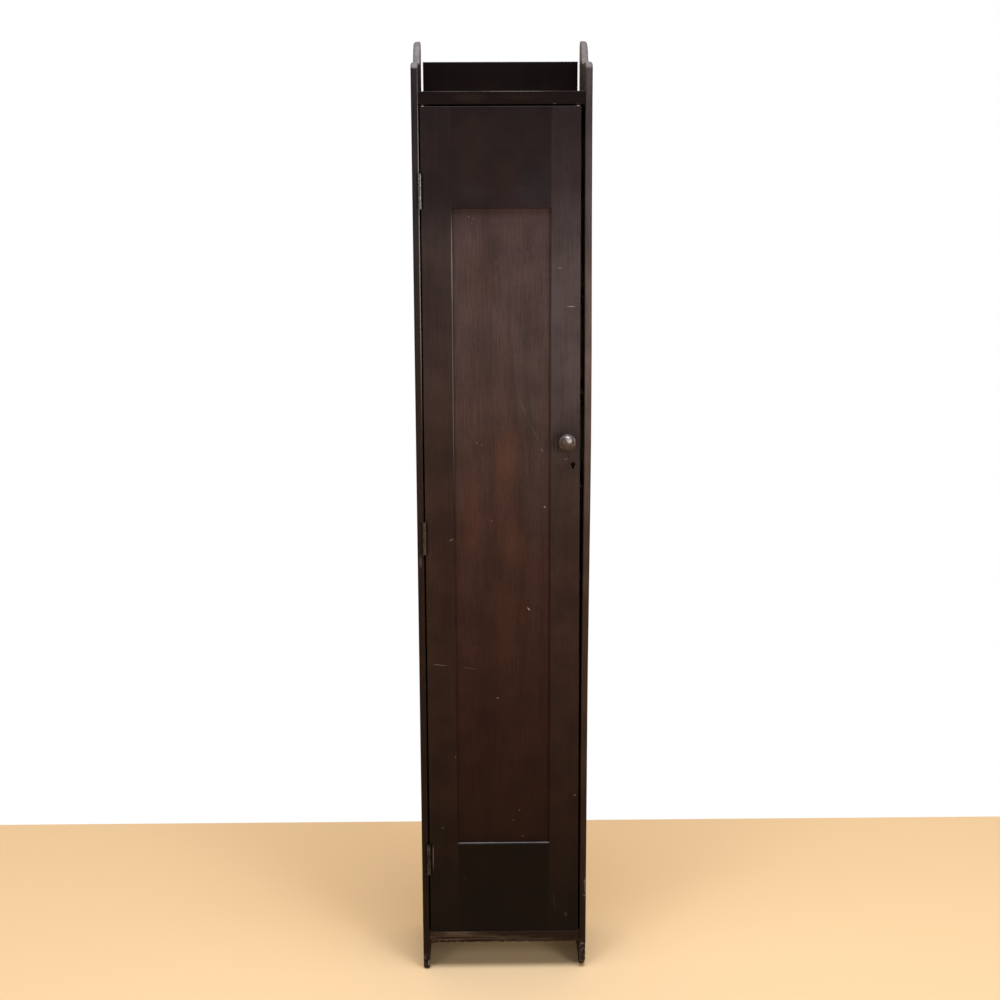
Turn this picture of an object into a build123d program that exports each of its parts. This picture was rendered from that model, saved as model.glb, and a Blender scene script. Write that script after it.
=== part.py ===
from build123d import *
import os
from math import cos, tau

# A tall, narrow cabinet for phonograph cylinders: an open-fronted case of thin boards, closed by one
# framed door. X runs to the right, the door faces -Y and Z is up. The origin is on the floor, under
# the middle of the whole object. The right side board has warped outwards, so that the case itself
# stands a little to the left of that. It is drawn about its own middle and moved over as it is saved.

# Case
overall_width = 261.6
case_depth = 160.0
side_thickness = 10.2
foot_height = 46.9
bottom_board_thickness = 18.7
top_board_thickness = 18.5
back_thickness = 9.5
back_side_slit = 3.0
back_rise = 46.6
board_arris = 0.8

# Shaped tops and worn lower ends of the side boards
shoulder_rise = 41.1
shoulder_radius = 12.0
ogee_setback = 78.0
crest_rise = 76.1
crest_radius = 14.0
side_outer_arris = 4.4
side_inner_arris = 1.6
left_foot_wear = 6.0
right_foot_wear = 9.0
right_foot_wear_run = 13.0
edge_chip_bottom = 123.0
edge_chip_height = 32.0
edge_chip_width = 4.4
edge_chip_depth = 7.5
side_bow = 2.2
side_bow_start = 420.0
side_bow_points = 9

# Door
door_height = 1289.4
door_thickness = 16.0
door_gap_top = 2.5
door_gap_bottom = 1.4
door_gap_hinge = 2.4
door_gap_lock_top = 6.3
door_gap_lock_bottom = 2.5
door_arris = 0.8
stile_width = 44.8
top_rail_width = 145.4
bottom_rail_width = 150.5
panel_thickness = 6.0
panel_recess = 5.0
panel_groove_depth = 8.0
panel_edge_clearance = 1.2
frame_chamfer = 1.2
tenon_length = 30.0
tenon_shoulder = 20.0

# Shelves and the pegs that the cylinders stand over
shelf_count = 8
shelf_thickness = 9.5
shelf_housing = 5.0
shelf_setback = 10.0
peg_columns = 3
peg_rows = 2
peg_diameter = 38.0
peg_height = 22.0
peg_chamfer = 3.0
peg_tenon_diameter = 12.0
peg_tenon_length = 6.0

# Hinges
hinge_height = 50.8
hinge_barrel_diameter = 6.4
hinge_pin_diameter = 3.2
hinge_axis_forward = 2.0
leaf_thickness = 1.2
leaf_reach = 14.5
knuckle_count = 5
knuckle_gap = 0.3
pin_clearance = 0.05
knuckle_clearance = 0.5
knuckle_relief_depth = 1.8
knuckle_relief_width = 4.0
worn_relief_width = 9.0
hinge_top_offset = 120.0
hinge_bottom_offset = 125.0
hinge_middle_rise = 3.3

# Knob
knob_above_door_bottom = 801.0
knob_off_centre = 2.0
knob_reach = 27.0
knob_diameter = 25.4
knob_foot_diameter = 15.0
knob_foot_height = 1.8
knob_neck_diameter = 8.6
knob_neck_reach = 9.0
knob_rim_reach = 18.4
knob_rim_height = 4.0
knob_bead_width = 2.6
knob_rim_inset = 0.6
knob_screw_diameter = 4.6
knob_screw_grip = 13.0

# Lock
key_setback = 10.4
keyhole_above_door_bottom = 763.6
keyhole_head_diameter = 7.6
keyhole_height = 11.2
keyhole_slot_top_width = 4.6
keyhole_slot_bottom_width = 2.4
lock_plate_width = 30.0
lock_plate_height = 50.0
lock_plate_thickness = 1.4
selvedge_depth = 11.0
lock_case_width = 24.0
lock_case_height = 38.0
lock_case_depth = 8.0
lock_wall = 1.0
bolt_length = 19.0
bolt_height = 10.0
bolt_thickness = 4.5
bolt_rise = 4.0
bolt_travel = 11.0
bolt_clearance = 0.2
bolt_talon_width = 6.0
bolt_talon_depth = 3.0
bolt_spring_thickness = 0.5
bolt_spring_width = 3.0
bolt_spring_clearance = 0.4
strike_clearance = 0.6
strike_depth = 5.0

# Fasteners
leaf_screw_diameter = 2.6
leaf_screw_head = 5.2
leaf_door_screw_length = 14.0
leaf_case_screw_length = 8.5
lock_screw_diameter = 2.2
lock_screw_head = 4.2
lock_screw_length = 10.0
knob_screw_head = 9.0
screw_slot_width = 0.8
screw_slot_depth = 0.5
nail_diameter = 1.6
nail_head_diameter = 2.8
nail_head_height = 0.8
side_nail_length = 34.0
back_nail_length = 28.0
cut_overrun = 1.0

# Where repeated things stand, as shares of the length that carries them
leaf_screw_shares = (0.17, 0.5, 0.83)
leaf_screw_depth_shares = (0.62, 0.42, 0.62)
thick_board_nail_shares = (0.15, 0.5, 0.85)
shelf_nail_shares = (0.22, 0.78)
back_nail_shares = (0.12, 0.5, 0.88)

# Planes and levels that several pieces share
side_outer = overall_width / 2
side_inner = side_outer - side_thickness
front = (knob_reach - case_depth) / 2
back = front + case_depth
door_back = front + door_thickness
shelf_front = door_back + shelf_setback
back_inner = back - back_thickness
bottom_board_top = foot_height + bottom_board_thickness
door_bottom = bottom_board_top + door_gap_bottom
door_top = door_bottom + door_height
top_board_underside = door_top + door_gap_top
top_board_top = top_board_underside + top_board_thickness
shoulder_level = top_board_top + shoulder_rise
crest_level = top_board_top + crest_rise

door_hinge_edge = -side_inner + door_gap_hinge
door_lock_edge_top = side_inner - door_gap_lock_top
door_lock_edge_bottom = side_inner - door_gap_lock_bottom
panel_left = door_hinge_edge + stile_width
panel_right = (door_lock_edge_top + door_lock_edge_bottom) / 2 - stile_width
panel_bottom = door_bottom + bottom_rail_width
panel_top = door_top - top_rail_width
panel_front = front + panel_recess
panel_back = panel_front + panel_thickness

hinge_axis_x = (door_hinge_edge - side_inner) / 2
hinge_axis_y = front - hinge_axis_forward
hinge_top_middle = door_top - hinge_top_offset
hinge_bottom_middle = door_bottom + hinge_bottom_offset
hinge_middles = {
    "top": hinge_top_middle,
    "middle": (hinge_top_middle + hinge_bottom_middle) / 2 + hinge_middle_rise,
    "bottom": hinge_bottom_middle,
}

inner_height = top_board_underside - bottom_board_top
shelf_clear_height = (inner_height - shelf_count * shelf_thickness) / (shelf_count + 1)
shelf_pitch = shelf_clear_height + shelf_thickness
shelf_levels = [bottom_board_top + shelf_clear_height + shelf_pitch * n for n in range(shelf_count)]
peg_levels = [bottom_board_top] + [level + shelf_thickness for level in shelf_levels]


def lock_edge_at(level):
    """How far right the door's planed free edge is at a height."""
    rise_share = (level - door_bottom) / door_height
    return door_lock_edge_bottom + (door_lock_edge_top - door_lock_edge_bottom) * rise_share


knob_x = panel_right + stile_width / 2 + knob_off_centre
knob_z = door_bottom + knob_above_door_bottom
keyhole_z = door_bottom + keyhole_above_door_bottom
keyhole_x = lock_edge_at(keyhole_z) - key_setback


def bow_at(level):
    """How far the right side board has warped outwards at a height."""
    share = (level - side_bow_start) / (top_board_underside - side_bow_start)
    return side_bow * (1 - cos(tau * share)) / 2 if 0 < share < 1 else 0


def block(x_limits, y_limits, z_limits):
    """A squared block between three pairs of limits."""
    limits = (x_limits, y_limits, z_limits)
    middle = [(low + high) / 2 for low, high in limits]
    return Pos(*middle) * Box(*[high - low for low, high in limits])


def save(name, solids):
    """Write one piece, or one group of like pieces, as a STEP file under its name."""
    pieces = solids if isinstance(solids, list) else [solids]
    solid_list = [Pos(-side_bow / 2, 0, 0) * solid for piece in pieces for solid in piece.solids()]
    export_step(solid_list[0] if len(solid_list) == 1 else Compound(solid_list), f"parts/{name}.step")


# Nails and screws
def nail(point, direction, length):
    """A wire nail driven flush at a point."""
    head = Pos(0, 0, nail_head_height / 2) * Cylinder(nail_head_diameter / 2, nail_head_height)
    shank = Pos(0, 0, length / 2) * Cylinder(nail_diameter / 2, length)
    return Plane(origin=point, z_dir=direction) * (head + shank)


def screw(point, direction, length, diameter, head_diameter):
    """A slotted countersunk wood screw driven flush at a point."""
    head_height = (head_diameter - diameter) / 2
    outline = Polyline(
        (0, 0),
        (head_diameter / 2, 0),
        (diameter / 2, head_height),
        (diameter / 2, length - diameter),
        (0, length),
        close=True,
    )
    turned = revolve(Plane.XZ * make_face(outline), Axis.Z)
    slot = block(
        (-head_diameter, head_diameter),
        (-screw_slot_width / 2, screw_slot_width / 2),
        (-screw_slot_depth, screw_slot_depth),
    )
    return Plane(origin=point, z_dir=direction) * (turned - slot)


def outer_face_at(side, level):
    """Where a side board's outer face is at a height, -1 for the left board and 1 for the right."""
    return side_outer + bow_at(level) if side > 0 else -side_outer


def side_nails(side):
    """The nails through one side board, -1 for the left and 1 for the right, into what it carries."""
    rows = [(foot_height + bottom_board_thickness / 2, front, thick_board_nail_shares)]
    rows.append((top_board_underside + top_board_thickness / 2, front, thick_board_nail_shares))
    rows.extend((level + shelf_thickness / 2, shelf_front, shelf_nail_shares) for level in shelf_levels)
    places = [
        (start + (back_inner - start) * share, level)
        for level, start, shares in rows
        for share in shares
    ]
    return [
        nail((outer_face_at(side, level), depth, level), (-side, 0, 0), side_nail_length)
        for depth, level in places
    ]


def back_nails():
    """The nails through the back board into the rear edges of the boards in front of it."""
    levels = [foot_height + bottom_board_thickness / 2, top_board_underside + top_board_thickness / 2]
    levels.extend(level + shelf_thickness / 2 for level in shelf_levels)
    half_width = side_inner - back_side_slit
    return [
        nail((-half_width + 2 * half_width * share, back, level), (0, -1, 0), back_nail_length)
        for level in levels
        for share in back_nail_shares
    ]


# Case
def side_outline(foot_wear, foot_wear_run):
    """The shape of a side board seen from the side, as (distance from the front, height)."""
    ogee_start = (front + ogee_setback, shoulder_level)
    ogee_end = (back - crest_radius, crest_level)
    ogee_middle = ((ogee_start[0] + ogee_end[0]) / 2, (ogee_start[1] + ogee_end[1]) / 2)
    shoulder_low = (front, shoulder_level - shoulder_radius)
    shoulder_high = (front + shoulder_radius, shoulder_level)
    crest_low = (back, crest_level - crest_radius)
    foot_high = (front, foot_wear)
    foot_low = (front + foot_wear_run, 0)
    upward = (0, 1)
    outline = Line(foot_low, (back, 0)) + Line((back, 0), crest_low)
    outline += TangentArc(crest_low, ogee_end, tangent=upward)
    outline += TangentArc(ogee_end, ogee_middle, tangent=(-1, 0))
    outline += TangentArc(ogee_start, ogee_middle, tangent=(1, 0))
    outline += Line(ogee_start, shoulder_high)
    outline += TangentArc(shoulder_low, shoulder_high, tangent=upward)
    outline += Line(shoulder_low, foot_high)
    if foot_wear_run > foot_wear:
        outline += Line(foot_high, foot_low)
    else:
        outline += TangentArc(foot_low, foot_high, tangent=(-1, 0))
    return make_face(outline)


def rubbed(board, side, arris):
    """A side board with the edges of its left face, -1, or its right face, 1, rubbed round."""
    faces = [face for face in board.faces() if side * face.normal_at(face.center()).X > 1 / 2]
    edges = [edge for face in faces for edge in face.edges()]
    return fillet([edge for edge in edges if sum(edge.is_same(other) for other in edges) == 1], arris)


def left_side_board():
    """The left side board, before its joints are cut."""
    face = Plane.YZ * side_outline(left_foot_wear, left_foot_wear)
    board = Pos(-side_outer, 0, 0) * extrude(face, side_thickness)
    return rubbed(rubbed(board, -1, side_outer_arris), 1, side_inner_arris)


def warped_line(x):
    """The right side board's face seen from the front: upright, and bowed out where it has warped."""
    step = (top_board_underside - side_bow_start) / (side_bow_points - 1)
    levels = [side_bow_start + step * n for n in range(side_bow_points)]
    bow = Spline(*[(x + bow_at(level), level) for level in levels], tangents=[(0, 1), (0, 1)])
    return Line((x, -cut_overrun), bow @ 0) + bow + Line(bow @ 1, (x, crest_level + cut_overrun))


def right_side_board():
    """The right side board, warped outwards over its middle shelves, before its joints are cut."""
    low_end = Line((side_inner, -cut_overrun), (side_outer, -cut_overrun))
    high_end = Line((side_inner, crest_level + cut_overrun), (side_outer, crest_level + cut_overrun))
    band_face = make_face(warped_line(side_inner) + warped_line(side_outer) + low_end + high_end)
    band = extrude(Plane.XZ * band_face, case_depth, both=True)
    face = Plane.YZ * side_outline(right_foot_wear, right_foot_wear_run)
    slab = Pos(side_inner - cut_overrun, 0, 0) * extrude(face, side_thickness + side_bow + 2 * cut_overrun)
    return rubbed(rubbed(slab & band, 1, side_outer_arris), -1, side_inner_arris)


def edge_chip():
    """A splinter gone from the front outer arris of the right side board."""
    chip_top = edge_chip_bottom + edge_chip_height
    sharp_end = edge_chip_bottom + edge_chip_width
    outline = Polyline(
        (side_outer + cut_overrun, edge_chip_bottom),
        (side_outer, edge_chip_bottom),
        (side_outer - edge_chip_width, sharp_end),
        (side_outer, chip_top),
        (side_outer + cut_overrun, chip_top),
        close=True,
    )
    return Pos(0, front, 0) * extrude(Plane.XZ * make_face(outline), edge_chip_depth, both=True)


def thick_board(underside, thickness):
    """The top or bottom board, butted between the sides and flush with their front edges."""
    board = block((-side_inner, side_inner), (front, back_inner), (underside, underside + thickness))
    return fillet(board.edges().filter_by(Axis.X), board_arris)


def shelf(level):
    """One shelf with its ends housed in the side boards."""
    half_length = side_inner + shelf_housing
    return block((-half_length, half_length), (shelf_front, back_inner), (level, level + shelf_thickness))


def back_board():
    """The back board, shrunk a little clear of both sides, with its upper end standing as a gallery."""
    half_width = side_inner - back_side_slit
    board = block((-half_width, half_width), (back_inner, back), (foot_height, top_board_top + back_rise))
    return fillet(board.edges().group_by(Axis.Z)[-1], board_arris)


def pegs(level):
    """The turned pegs of one shelf, each with a tenon glued into a blind hole."""
    column_pitch = 2 * side_inner / peg_columns
    row_pitch = (back_inner - shelf_front) / peg_rows
    body = Pos(0, 0, peg_height / 2) * Cylinder(peg_diameter / 2, peg_height)
    body = chamfer(body.edges().group_by(Axis.Z)[-1], peg_chamfer)
    tenon = Pos(0, 0, -peg_tenon_length / 2) * Cylinder(peg_tenon_diameter / 2, peg_tenon_length)
    first_x = -side_inner + column_pitch / 2
    first_y = shelf_front + row_pitch / 2
    places = [
        (first_x + column_pitch * column, first_y + row_pitch * row, level)
        for column in range(peg_columns)
        for row in range(peg_rows)
    ]
    return [Pos(*place) * (body + tenon) for place in places]


# Hinges
def leaf(side, middle):
    """One hinge leaf: -1 is let into the side board and 1 into the door's edge."""
    barrel_radius = hinge_barrel_diameter / 2
    face = door_hinge_edge if side > 0 else -side_inner
    bottom = middle - hinge_height / 2
    plate_x = sorted((face, face + side * leaf_thickness))
    plate = block(plate_x, (hinge_axis_y, front + leaf_reach), (bottom, bottom + hinge_height))
    knuckle_pitch = (hinge_height + knuckle_gap) / knuckle_count
    knuckle_length = knuckle_pitch - knuckle_gap
    own_first = 1 if side > 0 else 0
    bore = hinge_pin_diameter / 2 + (pin_clearance if side > 0 else 0)
    notch_back = hinge_axis_y + barrel_radius + knuckle_clearance
    for n in range(knuckle_count):
        low = bottom + knuckle_pitch * n
        high = low + knuckle_length
        if n % 2 == own_first:
            barrel = Cylinder(barrel_radius, knuckle_length)
            plate += Pos(hinge_axis_x, hinge_axis_y, (low + high) / 2) * barrel
        else:
            notch_low = low - (knuckle_gap if n > 0 else cut_overrun)
            notch_high = high + (knuckle_gap if n < knuckle_count - 1 else cut_overrun)
            notch_x = (plate_x[0] - cut_overrun, plate_x[1] + cut_overrun)
            plate -= block(notch_x, (hinge_axis_y - barrel_radius, notch_back), (notch_low, notch_high))
    return plate - Pos(hinge_axis_x, hinge_axis_y, middle) * Cylinder(bore, hinge_height + 2 * cut_overrun)


def leaf_screws(side, middle):
    """The screws of one leaf."""
    face = door_hinge_edge if side > 0 else -side_inner
    length = leaf_door_screw_length if side > 0 else leaf_case_screw_length
    bottom = middle - hinge_height / 2
    return [
        screw(
            (face, front + leaf_reach * depth_share, bottom + hinge_height * share),
            (side, 0, 0),
            length,
            leaf_screw_diameter,
            leaf_screw_head,
        )
        for share, depth_share in zip(leaf_screw_shares, leaf_screw_depth_shares)
    ]


def hinge_pin(middle):
    """The pin that the knuckles turn on, held fast by the case leaf."""
    return Pos(hinge_axis_x, hinge_axis_y, middle) * Cylinder(hinge_pin_diameter / 2, hinge_height)


def leaf_seat(side, middle):
    """The mortise that a leaf fills in the wood, and the relief cut beside its barrel."""
    face = door_hinge_edge if side > 0 else -side_inner
    bottom = middle - hinge_height / 2
    seat_x = sorted((face - side * cut_overrun, face + side * leaf_thickness))
    seat = block(seat_x, (front - cut_overrun, front + leaf_reach), (bottom, bottom + hinge_height))
    worn = side > 0 and middle == hinge_middles["bottom"]
    width = worn_relief_width if worn else knuckle_relief_width
    outline = Polyline(
        (face - side * cut_overrun, front - cut_overrun),
        (face - side * cut_overrun, front + knuckle_relief_depth),
        (face, front + knuckle_relief_depth),
        (face + side * width, front),
        (face + side * width, front - cut_overrun),
        close=True,
    )
    relief = extrude(make_face(outline), hinge_height / 2 + knuckle_clearance, both=True)
    return seat + Pos(0, 0, middle) * relief


# Door
def panel_opening(grow, depth):
    """The outline of the door's opening, grown on all four sides, at a distance from the front."""
    width = panel_right - panel_left + 2 * grow
    height = panel_top - panel_bottom + 2 * grow
    centre = ((panel_left + panel_right) / 2, front + depth, (panel_bottom + panel_top) / 2)
    return Plane(origin=centre, x_dir=(1, 0, 0), z_dir=(0, -1, 0)) * Rectangle(width, height)


def frame_bevel():
    """The chamfer round the sunk panel, as one tapered cutter that mitres at the corners."""
    return loft([panel_opening(frame_chamfer + cut_overrun, -cut_overrun), panel_opening(0, frame_chamfer)])


def panel_space(grow, y_limits):
    """The panel's rectangle, grown on all four sides."""
    return block(
        (panel_left - grow, panel_right + grow),
        y_limits,
        (panel_bottom - grow, panel_top + grow),
    )


def tenons(rail_low, rail_high, groove_end):
    """The two tenons of a rail, clear of the panel groove at the rail's inner edge."""
    if groove_end > 0:
        z_limits = (rail_low + tenon_shoulder, rail_high - panel_groove_depth)
    else:
        z_limits = (rail_low + panel_groove_depth, rail_high - tenon_shoulder)
    y_limits = (panel_front, panel_back)
    left = block((panel_left - tenon_length, panel_left), y_limits, z_limits)
    right = block((panel_right, panel_right + tenon_length), y_limits, z_limits)
    return [left, right]


def rail(rail_low, rail_high, groove_end):
    """A rail between the stiles, tenoned at both ends and grooved for the panel."""
    body = block((panel_left, panel_right), (front, door_back), (rail_low, rail_high))
    free_face = body.faces().sort_by(Axis.Z)[0 if groove_end > 0 else -1]
    body = fillet(free_face.edges().filter_by(Axis.X), door_arris)
    for tenon in tenons(rail_low, rail_high, groove_end):
        body += tenon
    return body - panel_space(panel_groove_depth, (panel_front, panel_back)) - frame_bevel()


def lock_stile_blank():
    """The lock stile before its joints: its free edge is planed off more at the top."""
    outline = Polyline(
        (panel_right, door_bottom),
        (door_lock_edge_bottom, door_bottom),
        (door_lock_edge_top, door_top),
        (panel_right, door_top),
        close=True,
    )
    return Pos(0, door_back, 0) * extrude(Plane.XZ * make_face(outline), door_thickness)


def stile(blank, free_face):
    """A stile with its free arrises rubbed round, and its mortises, panel groove and bevel cut."""
    ends = blank.faces().sort_by(Axis.Z)
    end_edges = ends[0].edges().filter_by(Axis.X) + ends[-1].edges().filter_by(Axis.X)
    blank = fillet(free_face.edges() + end_edges, door_arris)
    for low, high, groove_end in ((door_bottom, panel_bottom, 1), (panel_top, door_top, -1)):
        for tenon in tenons(low, high, groove_end):
            blank -= tenon
    return blank - panel_space(panel_groove_depth, (panel_front, panel_back)) - frame_bevel()


def door_panel():
    """The flat panel, held in the grooves with room to swell and standing on the bottom rail."""
    room = panel_groove_depth - panel_edge_clearance
    return block(
        (panel_left - room, panel_right + room),
        (panel_front, panel_back),
        (panel_bottom - panel_groove_depth, panel_top + room),
    )


# Knob
def knob():
    """The turned knob, on an axis that points out of the door, bored for its screw."""
    foot_low = (knob_foot_diameter / 2, 0)
    foot_high = (knob_foot_diameter / 2, knob_foot_height)
    neck = (knob_neck_diameter / 2, knob_neck_reach)
    rim_back = (knob_diameter / 2 - knob_rim_inset, knob_rim_reach)
    rim_edge = (knob_diameter / 2, knob_rim_reach + knob_rim_height / 2)
    rim_front = (knob_diameter / 2 - knob_bead_width, knob_rim_reach + knob_rim_height)
    profile = Line((0, 0), foot_low) + Line(foot_low, foot_high)
    profile += TangentArc(neck, foot_high, tangent=(0, -1))
    profile += TangentArc(neck, rim_back, tangent=(0, 1))
    profile += ThreePointArc(rim_back, rim_edge, rim_front)
    profile += TangentArc((0, knob_reach), rim_front, tangent=(1, 0))
    profile += Line((0, knob_reach), (0, 0))
    turned = revolve(Plane.XZ * make_face(profile), Axis.Z)
    return Plane(origin=(knob_x, front, knob_z), z_dir=(0, -1, 0)) * turned


def knob_screw():
    """The screw that holds the knob, flush in the back of the stile."""
    length = door_thickness + knob_screw_grip
    return screw((knob_x, door_back, knob_z), (0, -1, 0), length, knob_screw_diameter, knob_screw_head)


# Lock
selvedge_face = lock_edge_at(keyhole_z)
lock_case_right = selvedge_face - lock_plate_thickness
lock_case_left = lock_case_right - lock_case_width
lock_plate_front = door_back - lock_plate_thickness
lock_case_front = lock_plate_front - lock_case_depth
bolt_bottom = keyhole_z + bolt_rise
bolt_top = bolt_bottom + bolt_height
bolt_back = lock_plate_front - bolt_clearance
bolt_front = bolt_back - bolt_thickness
bolt_left = selvedge_face - bolt_length


def keyhole(y_limits):
    """The keyhole, a round head over a slot that narrows downwards."""
    head_radius = keyhole_head_diameter / 2
    slot_bottom = head_radius - keyhole_height
    slot = Polyline(
        (-keyhole_slot_top_width / 2, 0),
        (keyhole_slot_top_width / 2, 0),
        (keyhole_slot_bottom_width / 2, slot_bottom),
        (-keyhole_slot_bottom_width / 2, slot_bottom),
        close=True,
    )
    face = Circle(head_radius) + make_face(slot)
    place = Plane(origin=(keyhole_x, y_limits[1], keyhole_z), x_dir=(1, 0, 0), z_dir=(0, -1, 0))
    return extrude(place * face, y_limits[1] - y_limits[0])


def bolt_way(clearance, x_limits):
    """The space that the bolt slides in."""
    return block(
        x_limits,
        (bolt_front - clearance, bolt_back + clearance),
        (bolt_bottom - clearance, bolt_top + clearance),
    )


def lock_plate_blank(overrun):
    """The lock's back plate, and the selvedge turned from it round the edge of the door."""
    half_height = lock_plate_height / 2
    z_limits = (keyhole_z - half_height, keyhole_z + half_height)
    outer = selvedge_face + overrun
    rear = door_back + overrun
    plate = block((selvedge_face - lock_plate_width, outer), (lock_plate_front, rear), z_limits)
    return plate + block((lock_case_right, outer), (door_back - selvedge_depth, rear), z_limits)


def lock_plate():
    """The plate and selvedge, with the hole that the bolt comes out of."""
    hole = bolt_way(bolt_clearance, (lock_case_right - cut_overrun, selvedge_face + cut_overrun))
    return lock_plate_blank(0) - hole


def lock_space():
    """The block of space that the lock's case fills."""
    half_height = lock_case_height / 2
    z_limits = (keyhole_z - half_height, keyhole_z + half_height)
    return block((lock_case_left, lock_case_right), (lock_case_front, lock_plate_front), z_limits)


def lock_seat():
    """The recess in the lock stile that the whole lock is let into."""
    return lock_plate_blank(cut_overrun) + lock_space()


def lock_case():
    """The lock's case, an open-backed box with the keyhole in its front."""
    half_height = lock_case_height / 2 - lock_wall
    hollow = block(
        (lock_case_left + lock_wall, lock_case_right - lock_wall),
        (lock_case_front + lock_wall, lock_plate_front),
        (keyhole_z - half_height, keyhole_z + half_height),
    )
    bolt_hole_x = (lock_case_right - lock_wall - cut_overrun, lock_case_right + cut_overrun)
    case = lock_space() - hollow - bolt_way(bolt_clearance, bolt_hole_x)
    return case - keyhole((lock_case_front - cut_overrun, lock_case_front + lock_wall))


def lock_bolt():
    """The sliding bolt, notched underneath for the key."""
    bolt = bolt_way(0, (bolt_left, selvedge_face))
    talon = block(
        (keyhole_x - bolt_talon_width / 2, keyhole_x + bolt_talon_width / 2),
        (bolt_front - cut_overrun, bolt_back + cut_overrun),
        (bolt_bottom - cut_overrun, bolt_bottom + bolt_talon_depth),
    )
    return bolt - talon


def bolt_spring():
    """The flat spring on the bolt, bowed up under the top of the case."""
    spring_left = bolt_left
    spring_right = lock_case_right - lock_wall - bolt_travel - bolt_spring_clearance
    ceiling = keyhole_z + lock_case_height / 2 - lock_wall - bolt_spring_clearance
    middle = (spring_left + spring_right) / 2
    bow = bolt_spring_thickness
    outer = ThreePointArc((spring_left, bolt_top), (middle, ceiling), (spring_right, bolt_top))
    inner_left = (spring_left + bow, bolt_top)
    inner_right = (spring_right - bow, bolt_top)
    inner = ThreePointArc(inner_left, (middle, ceiling - bow), inner_right)
    outline = outer + Line((spring_left, bolt_top), inner_left) + inner
    outline += Line(inner_right, (spring_right, bolt_top))
    strip = extrude(Plane.XZ * make_face(outline), bolt_spring_width / 2, both=True)
    return Pos(0, (bolt_front + bolt_back) / 2, 0) * strip


def lock_screws():
    """Two screws through the back plate and two through the selvedge."""
    size = (lock_screw_length, lock_screw_diameter, lock_screw_head)
    half_height = lock_plate_height / 2
    inset = (lock_plate_height - lock_case_height) / 4
    levels = (keyhole_z - half_height + inset, keyhole_z + half_height - inset)
    plate_x = selvedge_face - lock_plate_width / 2
    selvedge_y = door_back - selvedge_depth / 2
    through_plate = [
        screw((plate_x, door_back, level), (0, -1, 0), *size)
        for level in levels
    ]
    through_selvedge = [
        screw((selvedge_face, selvedge_y, level), (-1, 0, 0), *size)
        for level in levels
    ]
    return through_plate + through_selvedge


def strike_mortise():
    """The slot in the right side board that the thrown bolt enters."""
    mortise_x = (side_inner - cut_overrun, side_inner + bow_at(keyhole_z) + strike_depth)
    return bolt_way(bolt_clearance + strike_clearance, mortise_x)


os.makedirs("parts", exist_ok=True)

# The case goes together first: sides, boards, shelves with their pegs, and the back.
nails = {"left": side_nails(-1), "right": side_nails(1)}
rear_nails = back_nails()
all_nails = nails["left"] + nails["right"] + rear_nails
shelves = [shelf(level) for level in shelf_levels]
peg_groups = [pegs(level) for level in peg_levels]
case_screws = {name: leaf_screws(-1, middle) for name, middle in hinge_middles.items()}
door_screws = {name: leaf_screws(1, middle) for name, middle in hinge_middles.items()}

left_side = left_side_board() - shelves - nails["left"]
for name, middle in hinge_middles.items():
    left_side = left_side - leaf_seat(-1, middle) - case_screws[name]
save("left_side", left_side)
right_side = right_side_board() - shelves - nails["right"]
save("right_side", right_side - edge_chip() - strike_mortise())
save("bottom_board", thick_board(foot_height, bottom_board_thickness) - all_nails - peg_groups[0])
save("top_board", thick_board(top_board_underside, top_board_thickness) - all_nails)
for number, board in enumerate(shelves, start=1):
    save(f"shelf_{number}", board - all_nails - peg_groups[number])
for number, group in enumerate(peg_groups, start=1):
    save(f"pegs_{number}", group)
save("back_board", back_board() - rear_nails)
save("left_side_nails", nails["left"])
save("right_side_nails", nails["right"])
save("back_nails", rear_nails)

# The door's frame is tenoned together round its loose panel.
hinge_stile = block((door_hinge_edge, panel_left), (front, door_back), (door_bottom, door_top))
hinge_stile = stile(hinge_stile, hinge_stile.faces().sort_by(Axis.X)[0])
for name, middle in hinge_middles.items():
    hinge_stile = hinge_stile - leaf_seat(1, middle) - door_screws[name]
save("door_hinge_stile", hinge_stile)
lock_stile = lock_stile_blank()
lock_stile = stile(lock_stile, lock_stile.faces().sort_by(Axis.X)[-1])
lock_stile = lock_stile - lock_seat() - lock_screws() - knob_screw()
save("door_lock_stile", lock_stile - keyhole((front - cut_overrun, lock_case_front + cut_overrun)))
save("door_top_rail", rail(panel_top, door_top, -1))
save("door_bottom_rail", rail(door_bottom, panel_bottom, 1))
save("door_panel", door_panel())

# Hinges, knob and lock are let in last.
for name, middle in hinge_middles.items():
    save(f"hinge_{name}_case_leaf", leaf(-1, middle) - case_screws[name])
    save(f"hinge_{name}_door_leaf", leaf(1, middle) - door_screws[name])
    save(f"hinge_{name}_pin", hinge_pin(middle))
    save(f"hinge_{name}_case_screws", case_screws[name])
    save(f"hinge_{name}_door_screws", door_screws[name])
save("knob", knob() - knob_screw())
save("knob_screw", knob_screw())
save("lock_plate", lock_plate() - lock_screws())
save("lock_case", lock_case())
save("lock_bolt", lock_bolt())
save("lock_bolt_spring", bolt_spring())
save("lock_screws", lock_screws())
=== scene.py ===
import math

import bmesh
import bpy
from mathutils import Matrix, Vector, noise


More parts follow.
